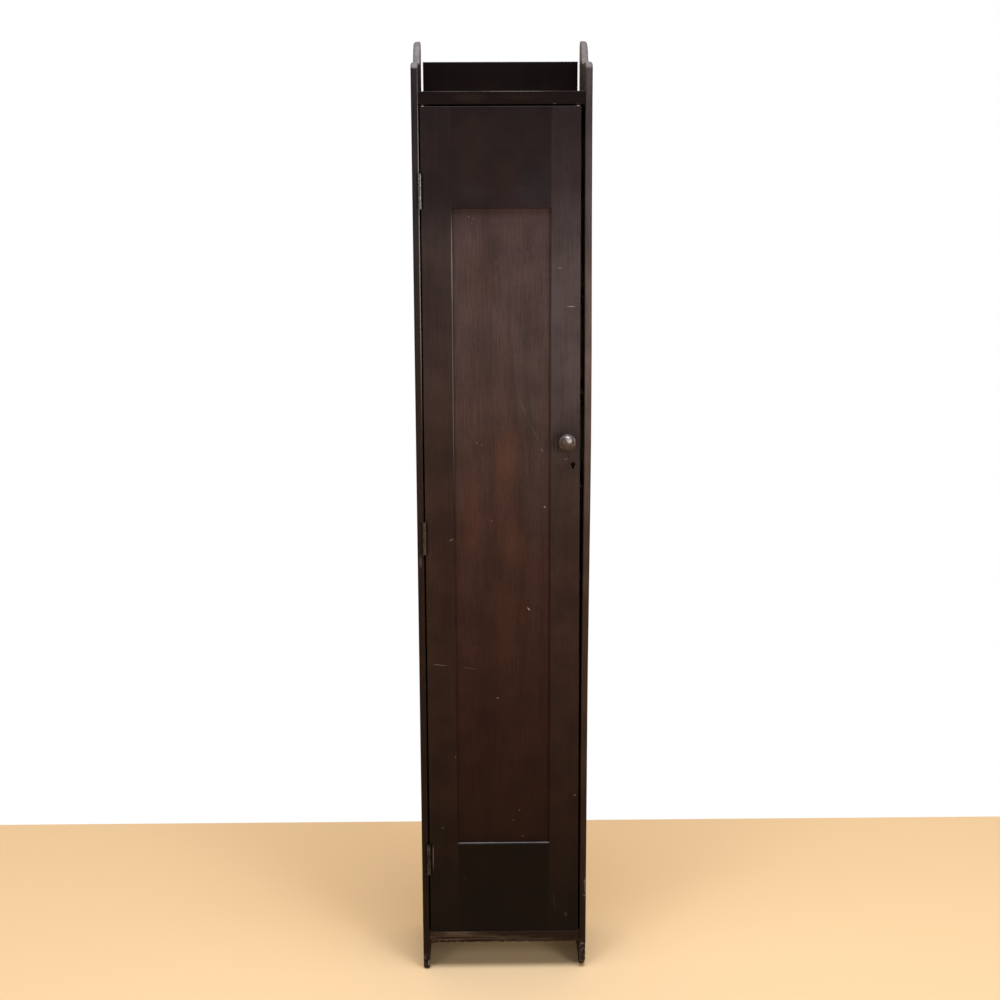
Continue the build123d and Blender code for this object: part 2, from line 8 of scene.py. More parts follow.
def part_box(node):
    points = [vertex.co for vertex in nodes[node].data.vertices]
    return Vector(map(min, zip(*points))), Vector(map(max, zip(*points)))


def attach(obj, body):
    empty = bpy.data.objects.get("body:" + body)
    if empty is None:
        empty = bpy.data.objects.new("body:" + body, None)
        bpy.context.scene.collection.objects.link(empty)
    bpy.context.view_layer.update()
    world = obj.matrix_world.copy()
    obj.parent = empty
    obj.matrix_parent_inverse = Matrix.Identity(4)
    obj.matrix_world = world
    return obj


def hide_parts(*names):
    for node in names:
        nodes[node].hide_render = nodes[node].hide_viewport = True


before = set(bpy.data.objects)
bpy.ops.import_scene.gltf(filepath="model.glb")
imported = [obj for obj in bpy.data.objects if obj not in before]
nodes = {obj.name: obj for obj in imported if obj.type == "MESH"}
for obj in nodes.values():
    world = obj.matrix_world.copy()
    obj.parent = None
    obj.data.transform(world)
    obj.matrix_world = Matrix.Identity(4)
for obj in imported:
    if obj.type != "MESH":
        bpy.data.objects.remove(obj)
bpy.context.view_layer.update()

# Studio. A plain pale floor that stops a short way behind the cabinet, where a white wall begins, and
# a camera that stands above the cabinet's middle and looks a little down. It is not part of the object.
FLOOR_COLOUR = (0.99, 0.735, 0.435, 1.0)
FLOOR_ROUGHNESS = 0.75
FLOOR_FRONT, FLOOR_BACK, FLOOR_HALF_WIDTH = -4.0, 0.52, 3.0
FILL_COLOUR = (1.0, 0.76, 0.50, 1.0)
ROOM_LEVEL, WALL_LEVEL = 0.15, 0.72
WALL_STARTS, WALL_IS_FULL = -0.1, 0.5
DOOR_MIDDLE, SIDE_LAMP_SIZE = (0, 0, 0.85), (0.8, 1.3)
CAMERA_PLACE = (-0.03475, -2.50467, 1.32127)
CAMERA_YAW, CAMERA_PITCH, CAMERA_ROLL = 0.681, 12.60, -0.206
CAMERA_LENS = 59.41


def studio_node(tree, kind, **values):
    """One node with its properties set."""
    node = tree.nodes.new(kind)
    for key, value in values.items():
        setattr(node, key, value)
    return node


def studio_floor():
    """The floor sheet, in one plain colour."""
    mesh = bpy.data.meshes.new("floor")
    shape = bmesh.new()
    corners = [(-FLOOR_HALF_WIDTH, FLOOR_FRONT, 0), (FLOOR_HALF_WIDTH, FLOOR_FRONT, 0)]
    corners += [(FLOOR_HALF_WIDTH, FLOOR_BACK, 0), (-FLOOR_HALF_WIDTH, FLOOR_BACK, 0)]
    shape.faces.new([shape.verts.new(corner) for corner in corners])
    shape.to_mesh(mesh)
    shape.free()
    floor = bpy.data.objects.new("floor", mesh)
    bpy.context.scene.collection.objects.link(floor)
    paper = bpy.data.materials.new("floor paper")
    paper.use_nodes = True
    shader = paper.node_tree.nodes["Principled BSDF"]
    shader.inputs["Base Color"].default_value = FLOOR_COLOUR
    shader.inputs["Roughness"].default_value = FLOOR_ROUGHNESS
    mesh.materials.append(paper)
    return floor


def studio_world():
    """White where the camera looks past the cabinet, a dim room in front of it and a pale wall behind."""
    world = bpy.data.worlds.new("studio")
    bpy.context.scene.world = world
    world.use_nodes = True
    tree = world.node_tree
    tree.nodes.clear()
    output = studio_node(tree, "ShaderNodeOutputWorld")
    background = studio_node(tree, "ShaderNodeBackground")
    path = studio_node(tree, "ShaderNodeLightPath")
    place = studio_node(tree, "ShaderNodeTexCoord")
    split = studio_node(tree, "ShaderNodeSeparateXYZ")
    facing = studio_node(tree, "ShaderNodeMapRange", interpolation_type="SMOOTHSTEP")
    facing.inputs["From Min"].default_value = WALL_STARTS
    facing.inputs["From Max"].default_value = WALL_IS_FULL
    facing.inputs["To Min"].default_value = ROOM_LEVEL
    facing.inputs["To Max"].default_value = WALL_LEVEL
    level = studio_node(tree, "ShaderNodeMix", data_type="FLOAT")
    level.inputs[3].default_value = 1.0
    tree.links.new(place.outputs["Generated"], split.inputs[0])
    tree.links.new(split.outputs["Y"], facing.inputs["Value"])
    tree.links.new(path.outputs["Is Camera Ray"], level.inputs["Factor"])
    tint = studio_node(tree, "ShaderNodeMix", data_type="RGBA")
    tint.inputs[6].default_value = FILL_COLOUR
    tint.inputs[7].default_value = (1, 1, 1, 1)
    tree.links.new(path.outputs["Is Camera Ray"], tint.inputs["Factor"])
    tree.links.new(tint.outputs[2], background.inputs["Color"])
    tree.links.new(facing.outputs["Result"], level.inputs[2])
    tree.links.new(level.outputs[0], background.inputs["Strength"])
    tree.links.new(background.outputs[0], output.inputs["Surface"])


def studio_lamp(name, place, target, size, power, colour=(1, 1, 1)):
    """One soft rectangular lamp that points at a target."""
    data = bpy.data.lights.new(name, "AREA")
    data.shape = "RECTANGLE"
    data.size, data.size_y = size
    data.energy = power
    data.color = colour
    lamp = bpy.data.objects.new(name, data)
    bpy.context.scene.collection.objects.link(lamp)
    lamp.location = place
    lamp.rotation_euler = (Vector(target) - Vector(place)).to_track_quat("-Z", "Y").to_euler()


def studio_camera():
    """The camera, turned, tipped and rolled as it stood."""
    data = bpy.data.cameras.new("camera")
    data.lens = CAMERA_LENS
    camera = bpy.data.objects.new("camera", data)
    bpy.context.scene.collection.objects.link(camera)
    turn = Matrix.Rotation(math.radians(-CAMERA_YAW), 4, "Z")
    tip = Matrix.Rotation(math.radians(90 - CAMERA_PITCH), 4, "X")
    roll = Matrix.Rotation(math.radians(CAMERA_ROLL), 4, "Z")
    camera.matrix_world = Matrix.Translation(CAMERA_PLACE) @ turn @ tip @ roll
    bpy.context.scene.camera = camera


studio_floor()
studio_world()
studio_lamp("right lamp", (1.65, -2.3, 1.25), DOOR_MIDDLE, SIDE_LAMP_SIZE, 22)
studio_lamp("left lamp", (-1.65, -2.3, 1.35), DOOR_MIDDLE, SIDE_LAMP_SIZE, 12)
studio_lamp("top lamp", (0.1, -0.7, 3.2), (0, -0.1, 0), (2.0, 1.3), 70, (0.98, 1.0, 1.07))
studio_camera()
bpy.context.scene.view_settings.view_transform = "Standard"


# Side boards. Two thin boards that run from the floor to above the top, with a rounded shoulder and an
# ogee cut in the upper end. They are a plain-grained hardwood under dark brown stain, worn bare at the
# feet, where floors were swept and washed round them.
NEAR_BLACK_BROWN = (0.0045, 0.0020, 0.0013)
DARK_BROWN = (0.008, 0.0035, 0.0022)
DEEP_BROWN = (0.0150, 0.0065, 0.0040)
GREY_BROWN = (0.059, 0.045, 0.047)
PALE_GREY_BROWN = (0.098, 0.070, 0.064)
RAW_WOOD = (0.22, 0.15, 0.10, 1.0)
DUST_AND_SHEEN_GREY = (0.24, 0.225, 0.225, 1.0)
GREY_RUB = (0.16, 0.145, 0.14, 1.0)
MARK_AND_HIGHLIGHT_TONE = (0.29, 0.265, 0.26, 1.0)
WOOD_SHINE = 0.1
CABINET_HEIGHT = 1.4535
GRAIN_UP = (0.0, 0.0, 0.0)
GRAIN_ACROSS = (0.0, math.radians(90), 0.0)
SHARP_EDGE = math.radians(35)
DEEPEST_MARK = 0.010
MARK_HALF_DEPTH = 0.03
BUTT_HALF_WIDTH = 0.0035
MARGIN = 0.001
WHOLE_FACE = 0.0001
WELD, CUT_WELD = 0.000005, 0.000002


def new_group(name, inputs, outputs):
    """A shader node group with named sockets, and its input and output nodes."""
    group = bpy.data.node_groups.new(name, "ShaderNodeTree")
    for socket, kind, value in inputs:
        made = group.interface.new_socket(socket, in_out="INPUT", socket_type="NodeSocket" + kind)
        if value is not None:
            made.default_value = value
    for socket in outputs:
        group.interface.new_socket(socket, in_out="OUTPUT", socket_type="NodeSocketFloat")
    return group, group.nodes.new("NodeGroupInput"), group.nodes.new("NodeGroupOutput")


def put(tree, kind, settings=None, **feeds):
    """A node with its settings made and its inputs fed, each by a link or by a plain value."""
    node = tree.nodes.new(kind)
    for key, value in (settings or {}).items():
        setattr(node, key, value)
    for key, source in feeds.items():
        name = key.replace("_", " ")
        socket = node.inputs[int(name[1:])] if name[0] == "n" and name[1:].isdigit() else node.inputs[name]
        if isinstance(source, bpy.types.NodeSocket):
            tree.links.new(source, socket)
        else:
            socket.default_value = source
    return node


def placed(tree, group, **feeds):
    """A node group set into a material."""
    return put(tree, "ShaderNodeGroup", {"node_tree": group}, **feeds)


def ranged(tree, source, low, high, to_low=0.0, to_high=1.0):
    """A value eased from one range to another."""
    node = put(tree, "ShaderNodeMapRange", {"interpolation_type": "SMOOTHSTEP"}, Value=source)
    for socket, value in (("From Min", low), ("From Max", high), ("To Min", to_low), ("To Max", to_high)):
        node.inputs[socket].default_value = value
    return node.outputs["Result"]


def reckon(tree, operation, *values):
    """A sum, product or the like of values."""
    feeds = {f"n{place}": value for place, value in enumerate(values)}
    return put(tree, "ShaderNodeMath", {"operation": operation}, **feeds).outputs[0]


def reckon_place(tree, operation, *values):
    """A sum, product or the like of places."""
    feeds = {f"n{place}": value for place, value in enumerate(values)}
    return put(tree, "ShaderNodeVectorMath", {"operation": operation}, **feeds)


def scaled(tree, source, factor):
    """A colour or place made larger or smaller."""
    return put(tree, "ShaderNodeVectorMath", {"operation": "SCALE"}, n0=source, Scale=factor).outputs[0]


def blended(tree, share, first, second):
    """Two colours mixed by a share."""
    settings = {"data_type": "RGBA", "clamp_factor": True}
    return put(tree, "ShaderNodeMix", settings, n0=share, n6=first, n7=second).outputs[2]


def wood_grain_group():
    """Bands, fibres and open pores of a board whose grain runs along Z."""
    group, given, result = new_group("wood grain", [("Vector", "Vector", None)], ("Bands", "Fibres", "Pores"))

    def stretched(along, scale, detail, distortion=0.0):
        squeezed = put(group, "ShaderNodeMapping", Vector=given.outputs["Vector"], Scale=(1, 1, along))
        noise = put(group, "ShaderNodeTexNoise", Vector=squeezed.outputs[0], Scale=scale, Detail=detail)
        noise.inputs["Distortion"].default_value = distortion
        return noise.outputs["Fac"]

    bands = ranged(group, stretched(0.07, 40.0, 5.0, 0.5), 0.34, 0.68)
    fibres = ranged(group, stretched(0.03, 520.0, 3.0), 0.34, 0.68)
    pores = ranged(group, stretched(0.05, 1500.0, 1.0), 0.58, 0.70)
    for name, value in (("Bands", bands), ("Fibres", fibres), ("Pores", pores)):
        group.links.new(value, result.inputs[name])
    return group


def rubbed_edge_group():
    """Where the corners of a piece have been rubbed, broken up by an uneven hand."""
    sockets = [("Vector", "Vector", None), ("Reach", "Float", 0.0015)]
    group, given, result = new_group("rubbed edges", sockets, ("Rubbed",))
    rounded = put(group, "ShaderNodeBevel", {"samples": 6}, Radius=given.outputs["Reach"])
    true = put(group, "ShaderNodeNewGeometry")
    along = reckon_place(group, "DOT_PRODUCT", rounded.outputs[0], true.outputs["Normal"]).outputs["Value"]
    noise = put(group, "ShaderNodeTexNoise", Vector=given.outputs["Vector"], Scale=34.0, Detail=7.0)
    uneven = ranged(group, noise.outputs["Fac"], 0.44, 0.66, 0.12, 1.0)
    rubbed = reckon(group, "MULTIPLY", ranged(group, along, 0.985, 0.86), uneven)
    group.links.new(rubbed, result.inputs["Rubbed"])
    return group


def settled_dust_and_sheen_group():
    """Where dust and daylight have greyed what faces upwards, together with a painted sheen on those faces.
    """
    sockets = [("Vector", "Vector", None), ("Steepest", "Float", 0.15)]
    group, given, result = new_group("settled dust", sockets, ("Dust and sheen",))
    true = put(group, "ShaderNodeNewGeometry")
    split = put(group, "ShaderNodeSeparateXYZ", Vector=true.outputs["Normal"])
    noise = put(group, "ShaderNodeTexNoise", Vector=given.outputs["Vector"], Scale=90.0, Detail=5.0)
    patchy = ranged(group, noise.outputs["Fac"], 0.3, 0.7, 0.65, 1.0)
    level = reckon(group, "SUBTRACT", split.outputs["Z"], given.outputs["Steepest"])
    dust_and_sheen = reckon(group, "MULTIPLY", ranged(group, level, 0.0, 0.25), patchy)
    group.links.new(dust_and_sheen, result.inputs["Dust and sheen"])
    return group


def mark_group():
    """One scratch, nick or patch of a face that looks along Y, as a mask with a ragged outline; it also
    places painted highlights, sheen and shadows.
    """
    sockets = [("Vector", "Vector", None), ("Place", "Vector", None)]
    sockets += [("Half size", "Vector", (0.002, 0.01, 0.001)), ("Turn", "Float", 0.0)]
    sockets += [("Wander", "Float", 0.5), ("Fineness", "Float", 400.0)]
    group, given, result = new_group("mark", sockets, ("Mark",))
    place, fineness, wander = (given.outputs[name] for name in ("Vector", "Fineness", "Wander"))
    noise = put(group, "ShaderNodeTexNoise", Vector=place, Scale=fineness, Detail=3.0)
    shake = reckon_place(group, "SUBTRACT", noise.outputs["Color"], (0.5, 0.5, 0.5)).outputs[0]
    shake = scaled(group, shake, wander)
    away = reckon_place(group, "SUBTRACT", place, given.outputs["Place"]).outputs[0]
    about_y = {"rotation_type": "Y_AXIS"}
    turned = put(group, "ShaderNodeVectorRotate", about_y, Vector=away, Angle=given.outputs["Turn"])
    shared = reckon_place(group, "DIVIDE", turned.outputs[0], given.outputs["Half size"]).outputs[0]
    shaken = reckon_place(group, "ADD", shared, shake).outputs[0]
    reach = reckon_place(group, "LENGTH", shaken).outputs["Value"]
    depth = put(group, "ShaderNodeSeparateXYZ", Vector=away).outputs["Y"]
    shallow = ranged(group, depth, DEEPEST_MARK, 0.7 * DEEPEST_MARK)
    spot = reckon(group, "MULTIPLY", ranged(group, reach, 1.1, 0.45), shallow)
    group.links.new(spot, result.inputs["Mark"])
    return group


GRAIN = wood_grain_group()
RUBBED = rubbed_edge_group()
DUST_AND_SHEEN = settled_dust_and_sheen_group()
MARK = mark_group()
board_low, board_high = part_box("top_board")
CASE_MIDDLE = (board_low[0] + board_high[0]) / 2
FRONT_LEVEL = board_low[1]


def marked(tree, place, x, z, turn, half_x, half_z, wander=0.8, fineness=700.0, half_y=MARK_HALF_DEPTH):
    """The mask of one mark on the front, x to the right of the case's own middle."""
    where = {"Place": (CASE_MIDDLE + x, FRONT_LEVEL, z), "Half_size": (half_x, half_y, half_z)}
    ragged = {"Turn": math.radians(-turn), "Wander": wander, "Fineness": fineness}
    return placed(tree, MARK, Vector=place, **where, **ragged).outputs["Mark"]


def stained_wood(
    name, grain, shift, tones, patches=(), marks_and_highlights=(), butts=(), rubbed=0.6, rub_tone=GREY_RUB, dust_and_sheen=0.8,
    dust_and_sheen_from=0.15, bare_share=0.8, rough=(0.42, 0.56), figured=1.0, cloudy=0.14, streaky=(0.35, 1.0),
):
    """
    Stained and rubbed wood. Tones are (height, colour) from the floor up; where they grow lighter and greyer
    upwards, that is a painted sheen. Patches are (x, z, turn, half width, half height, colour, share), and
    some are painted sheen, highlight or shadow. Marks are (x, z, turn, half width, half height, share), and
    some are painted highlights. Butts are the flush joints (x, low, high), where nothing is rubbed. Figured
    is how strongly the grain shows.
    """
    made = bpy.data.materials.new(name)
    made.use_nodes = True
    tree = made.node_tree
    shader = tree.nodes["Principled BSDF"]
    shader.inputs["Specular IOR Level"].default_value = WOOD_SHINE
    place = put(tree, "ShaderNodeTexCoord").outputs["Object"]
    turned = put(tree, "ShaderNodeMapping", Vector=place, Location=shift, Rotation=grain).outputs[0]
    figure = placed(tree, GRAIN, Vector=turned)
    split = put(tree, "ShaderNodeSeparateXYZ", Vector=place)
    ramp = put(tree, "ShaderNodeValToRGB", Fac=reckon(tree, "DIVIDE", split.outputs["Z"], CABINET_HEIGHT))
    stops = ramp.color_ramp.elements
    for stop, (level, tone) in zip(stops, (tones[0], tones[-1])):
        stop.position, stop.color = level / CABINET_HEIGHT, (*tone, 1.0)
    for level, tone in tones[1:-1]:
        stops.new(level / CABINET_HEIGHT).color = (*tone, 1.0)
    colour = ramp.outputs["Color"]
    streaks = ranged(tree, figure.outputs["Fibres"], 0.2, 0.8, *streaky)
    for x, z, turn, half_x, half_z, patch_colour, share in patches:
        spread = reckon(tree, "MULTIPLY", marked(tree, place, x, z, turn, half_x, half_z, 0.9, 45.0), share)
        colour = blended(tree, reckon(tree, "MULTIPLY", spread, streaks), colour, (*patch_colour, 1.0))
    clouds = put(tree, "ShaderNodeTexNoise", Vector=place, Scale=16.0, Detail=5.0).outputs["Fac"]
    light = ranged(tree, clouds, 0.3, 0.7, 1.0 + cloudy, 1.0 - cloudy)
    for part, depth in (("Bands", 0.09), ("Fibres", 0.10), ("Pores", 0.16)):
        swing = depth * figured
        shade = ranged(tree, figure.outputs[part], 0.0, 1.0, 1.0 + swing, 1.0 - swing)
        light = reckon(tree, "MULTIPLY", light, shade)
    colour = scaled(tree, colour, light)
    worn = reckon(tree, "MULTIPLY", placed(tree, RUBBED, Vector=place).outputs["Rubbed"], rubbed)
    for x, low, high in butts:
        beside = reckon(tree, "COMPARE", split.outputs["X"], x, BUTT_HALF_WIDTH)
        level = reckon(tree, "COMPARE", split.outputs["Z"], (low + high) / 2, (high - low) / 2)
        open_edge = reckon(tree, "SUBTRACT", 1.0, reckon(tree, "MULTIPLY", beside, level))
        worn = reckon(tree, "MULTIPLY", worn, open_edge)
    colour = blended(tree, worn, colour, rub_tone)
    bare = put(tree, "ShaderNodeAttribute", {"attribute_name": "worn"}).outputs["Fac"]
    worn = reckon(tree, "MULTIPLY", bare, reckon(tree, "MULTIPLY", streaks, bare_share))
    colour = blended(tree, worn, colour, RAW_WOOD)
    for x, z, turn, half_x, half_z, share in marks_and_highlights:
        spot = reckon(tree, "MULTIPLY", marked(tree, place, x, z, turn, half_x, half_z), share)
        colour = blended(tree, spot, colour, MARK_AND_HIGHLIGHT_TONE)
    settled = placed(tree, DUST_AND_SHEEN, Vector=place, Steepest=dust_and_sheen_from).outputs["Dust and sheen"]
    greyed = reckon(tree, "MULTIPLY", settled, dust_and_sheen)
    tree.links.new(blended(tree, greyed, colour, DUST_AND_SHEEN_GREY), shader.inputs["Base Color"])
    gloss = ranged(tree, clouds, 0.3, 0.7, *rough)
    gloss = reckon(tree, "MULTIPLY_ADD", reckon(tree, "MAXIMUM", worn, greyed), 0.25, gloss)
    tree.links.new(gloss, shader.inputs["Roughness"])
    relief = reckon(tree, "MULTIPLY_ADD", figure.outputs["Pores"], -0.8, figure.outputs["Fibres"])
    relief = reckon(tree, "MULTIPLY_ADD", worn, -1.5, relief)
    bump = put(tree, "ShaderNodeBump", Height=relief, Strength=0.25, Distance=0.00012)
    tree.links.new(bump.outputs["Normal"], shader.inputs["Normal"])
    return made


def dress(names, material):
    """Give pieces that keep their own shape a material."""
    for name in names:
        piece = nodes[name]
        piece.data.materials.clear()
        piece.data.materials.append(material)


def joined_copy(node):
    """A copy of a solid with its loose faces joined, for wear to be cut in."""
    shape = bmesh.new()
    shape.from_mesh(nodes[node].data)
    bmesh.ops.remove_doubles(shape, verts=shape.verts, dist=WELD)
    shape.verts.layers.float.new("worn")
    return shape


def cut_finely(shape, low, high, steps):
    """Cross-cut the faces inside a box, so that wear can move the surface there."""
    for axis in range(3):
        normal = Vector([float(axis == way) for way in range(3)])
        count = max(1, round((high[axis] - low[axis]) / steps[axis]))
        for number in range(count + 1):
            level = low[axis] + (high[axis] - low[axis]) * number / count
            inside = []
            for face in shape.faces:
                spans = [[corner.co[way] for corner in face.verts] for way in range(3)]
                if all(max(span) > low[way] and min(span) < high[way] for way, span in enumerate(spans)):
                    inside.append(face)
            edges = {edge for face in inside for edge in face.edges}
            corners = {corner for face in inside for corner in face.verts}
            bmesh.ops.bisect_plane(
                shape, geom=[*inside, *edges, *corners], dist=CUT_WELD,
                plane_co=normal * level, plane_no=normal,
            )


def rub_away(shape, low, high, fade, depth, fineness, seed):
    """Wear a boxed part of the surface inwards, unevenly, fading out towards the box's own sides."""
    bare = shape.verts.layers.float["worn"]
    shape.normal_update()
    moves = []
    for corner in shape.verts:
        share = 1.0
        for way in range(3):
            if fade[way]:
                inset = min(corner.co[way] - low[way], high[way] - corner.co[way])
                share *= min(1.0, max(0.0, inset / fade[way]))
            elif not low[way] - WHOLE_FACE <= corner.co[way] <= high[way] + WHOLE_FACE:
                share = 0.0
        if share > 0:
            rough = noise.fractal(corner.co * fineness + Vector((seed, 0, 0)), 0.8, 2.1, 4)
            amount = share * min(1.0, max(0.0, 0.35 + 0.9 * rough))
            moves.append((corner, corner.normal * (-depth * amount), amount))
    for corner, move, amount in moves:
        corner.co += move
        corner[bare] = max(corner[bare], min(1.0, 1.3 * amount))


def knock_out(shape, place, radius, depth, towards=None):
    """One small chip out of an edge, pushed straight in or towards a given way."""
    bare = shape.verts.layers.float["worn"]
    shape.normal_update()
    for corner in shape.verts:
        share = 1.0 - (corner.co - Vector(place)).length / radius
        if share > 0:
            way = Vector(towards) if towards else -corner.normal
            corner.co += way * depth * min(1.0, 1.6 * share)
            corner[bare] = max(corner[bare], min(1.0, 2.0 * share))


def finish_copy(shape, name, node, body, material):
    """Make a worn copy a piece of its own, in place of the solid it came from."""
    for edge in shape.edges:
        edge.smooth = len(edge.link_faces) == 2 and edge.calc_face_angle() < SHARP_EDGE
    for face in shape.faces:
        face.smooth = True
    bmesh.ops.triangulate(shape, faces=shape.faces)
    mesh = bpy.data.meshes.new(name)
    shape.to_mesh(mesh)
    shape.free()
    mesh.materials.append(material)
    piece = bpy.data.objects.new(name, mesh)
    bpy.context.scene.collection.objects.link(piece)
    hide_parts(node)
    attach(piece, body)


# The sides' tones grow lighter and greyer towards the top, most of all on the right side: that is a painted
# sheen. They grow darker towards the floor.
SIDE_TONES = (
    (0.05, DARK_BROWN),
    (0.35, (0.011, 0.005, 0.003)),
    (0.80, (0.024, 0.0125, 0.0095)),
    (1.20, (0.019, 0.0155, 0.0165)),
    (1.35, (0.0165, 0.0145, 0.0155)),
)
# From 0.72 up the right side grows lighter and greyer: a painted sheen.
RIGHT_TONES = (
    (0.03, DARK_BROWN),
    (0.14, (0.015, 0.007, 0.0045)),
    (0.28, (0.022, 0.010, 0.006)),
    (0.72, (0.047, 0.029, 0.022)),
    (0.86, (0.085, 0.060, 0.053)),
    (0.96, PALE_GREY_BROWN),
    (1.10, PALE_GREY_BROWN),
    (1.20, GREY_BROWN),
    (1.38, (0.047, 0.0385, 0.0405)),
)
LEFT_MARKS_AND_HIGHLIGHT = (
    (-0.1262, 0.680, 0, 0.003, 0.010, 0.14),
    (-0.1218, 0.012, 4, 0.0014, 0.006, 1.0),
    # The long thin mark is a painted highlight along the inner front arris.
    (-0.1211, 1.16, 0, 0.0008, 0.29, 0.95),
)
RIGHT_MARKS = (
    (0.1281, 0.1517, 0, 0.0012, 0.003, 0.5),
    (0.1228, 0.0421, 0, 0.0012, 0.0012, 0.9),
    (0.1244, 0.0315, 0, 0.0010, 0.0010, 0.9),
    (0.1288, 0.138, 0, 0.0010, 0.014, 0.5),
)
FOOT_STEP = (0.0012, 0.0015, 0.0015)
FOOT_FADE = (0.0, 0.012, 0.010)
FOOT_AHEAD = 0.02
LEFT_FOOT_DEPTH, LEFT_FOOT_HEIGHT = 0.022, 0.030
RIGHT_FOOT_DEPTH, RIGHT_FOOT_HEIGHT = 0.030, 0.052
RIGHT_TOE_X, RIGHT_TOE_RADIUS, RIGHT_TOE_WEAR = 0.129, 0.017, 0.0045
UP_AND_BACK = (-0.1, 0.35, 0.93)

left_low, left_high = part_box("left_side")
left_side = joined_copy("left_side")
foot_low = (left_low[0] - MARGIN, left_low[1] - FOOT_AHEAD, -MARGIN)
foot_high = (left_high[0] + MARGIN, left_low[1] + LEFT_FOOT_DEPTH, LEFT_FOOT_HEIGHT)
cut_finely(left_side, foot_low, foot_high, FOOT_STEP)
rub_away(left_side, foot_low, foot_high, FOOT_FADE, 0.0008, 160.0, 3.0)
# The grey on the sides' upward shoulders and ogee is dust and a painted sheen.
left_stain = stained_wood(
    "left side stain", GRAIN_UP, (0.3, 0.1, 0.0), SIDE_TONES, marks_and_highlights=LEFT_MARKS_AND_HIGHLIGHT, dust_and_sheen=0.79, bare_share=0.3
)
finish_copy(left_side, "left_side_board", "left_side", "case", left_stain)

right_low, right_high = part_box("right_side")
right_side = joined_copy("right_side")
foot_low = (right_low[0] - MARGIN, right_low[1] - FOOT_AHEAD, -MARGIN)
foot_high = (right_high[0] + MARGIN, right_low[1] + RIGHT_FOOT_DEPTH, RIGHT_FOOT_HEIGHT)
cut_finely(right_side, foot_low, foot_high, FOOT_STEP)
rub_away(right_side, foot_low, foot_high, FOOT_FADE, 0.0018, 210.0, 11.0)
right_toe = (CASE_MIDDLE + RIGHT_TOE_X, right_low[1], 0.0)
knock_out(right_side, right_toe, RIGHT_TOE_RADIUS, RIGHT_TOE_WEAR, UP_AND_BACK)
right_stain = stained_wood(
    "right side stain", GRAIN_UP, (0.7, 0.5, 0.2), RIGHT_TONES, marks_and_highlights=RIGHT_MARKS, dust_and_sheen=0.57, bare_share=0.3,
    cloudy=0.2,
)
finish_copy(right_side, "right_side_board", "right_side", "case", right_stain)

# Top and bottom boards. Thicker boards butted between the sides and nailed through them. The bottom
# board's front edge is worn through to the wood, most of all on the left, and its lower arris is ragged.
EVERY_LEVEL = (0.0, CABINET_HEIGHT)
BOARD_BUTTS = ((board_low[0], *EVERY_LEVEL), (board_high[0], *EVERY_LEVEL))
BOTTOM_TONES = ((0.0, DEEP_BROWN), (CABINET_HEIGHT, DEEP_BROWN))
TOP_TONES = ((0.0, NEAR_BLACK_BROWN), (CABINET_HEIGHT, (0.0062, 0.0030, 0.0026)))
STREAK = (0.094, 0.069, 0.047)
BOTTOM_PATCHES = (
    (-0.075, 0.0560, 0, 0.060, 0.0110, STREAK, 0.7),
    (-0.085, 0.0520, 0, 0.040, 0.0040, STREAK, 0.6),
    (-0.030, 0.0545, 1, 0.040, 0.0050, STREAK, 0.6),
    (0.040, 0.0540, 0, 0.060, 0.0060, STREAK, 0.35),
    (-0.070, 0.0648, 0, 0.050, 0.0010, STREAK, 0.8),
)
BOTTOM_CHIPS = ((-0.1146, 0.0474, 0.004),)
BOARD_STEP = (0.0016, 0.001, 0.001)
STRIP_INSET, STRIP_FADE = 0.0005, (0.006, 0.0, 0.0)
TOP_PATCHES = (
    (-0.045, 1.368, 0, 0.030, 0.008, (0.018, 0.0088, 0.0070), 0.8),
    (0.030, 1.370, 0, 0.040, 0.006, (0.015, 0.0072, 0.0056), 0.8),
)
TOP_MARKS_AND_HIGHLIGHT = (
    # The two long thin marks are a painted highlight along the top arris.
    (0.018, 1.3772, 0, 0.060, 0.0009, 0.28),
    (-0.070, 1.3772, 0, 0.030, 0.0007, 0.12),
    (0.0759, 1.3595, 0, 0.0020, 0.0010, 0.4),
)
TOP_CHIPS = ((0.0759, 1.3592, 0.0026), (0.1095, 1.3591, 0.0022))


def worn_board(node, tones, shift, strip, wear, chips, patches, marks_and_highlights, seed, rubbed, streaky):
    """One board with the lower front arris worn, and chips (x, z, radius) knocked out of it."""
    low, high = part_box(node)
    shape = joined_copy(node)
    strip_low = (low[0] + STRIP_INSET, low[1] - STRIP_INSET, low[2] - STRIP_INSET)
    strip_high = (high[0] - STRIP_INSET, low[1] + strip, low[2] + strip)
    cut_high = (strip_high[0], strip_high[1] + BOARD_STEP[1], strip_high[2] + BOARD_STEP[2])
    cut_finely(shape, strip_low, cut_high, BOARD_STEP)
    if wear > 0:
        rub_away(shape, strip_low, strip_high, STRIP_FADE, wear, 260.0, seed)
    for x, z, radius in chips:
        knock_out(shape, (CASE_MIDDLE + x, low[1], z), radius, radius / 3)
    stain = stained_wood(
        node.replace("_", " ") + " stain", GRAIN_ACROSS, shift, tones, patches, marks_and_highlights, BOARD_BUTTS, rubbed,
        dust_and_sheen=0.088, bare_share=0.2, streaky=streaky,
    )
    finish_copy(shape, node + "_worn", node, "case", stain)


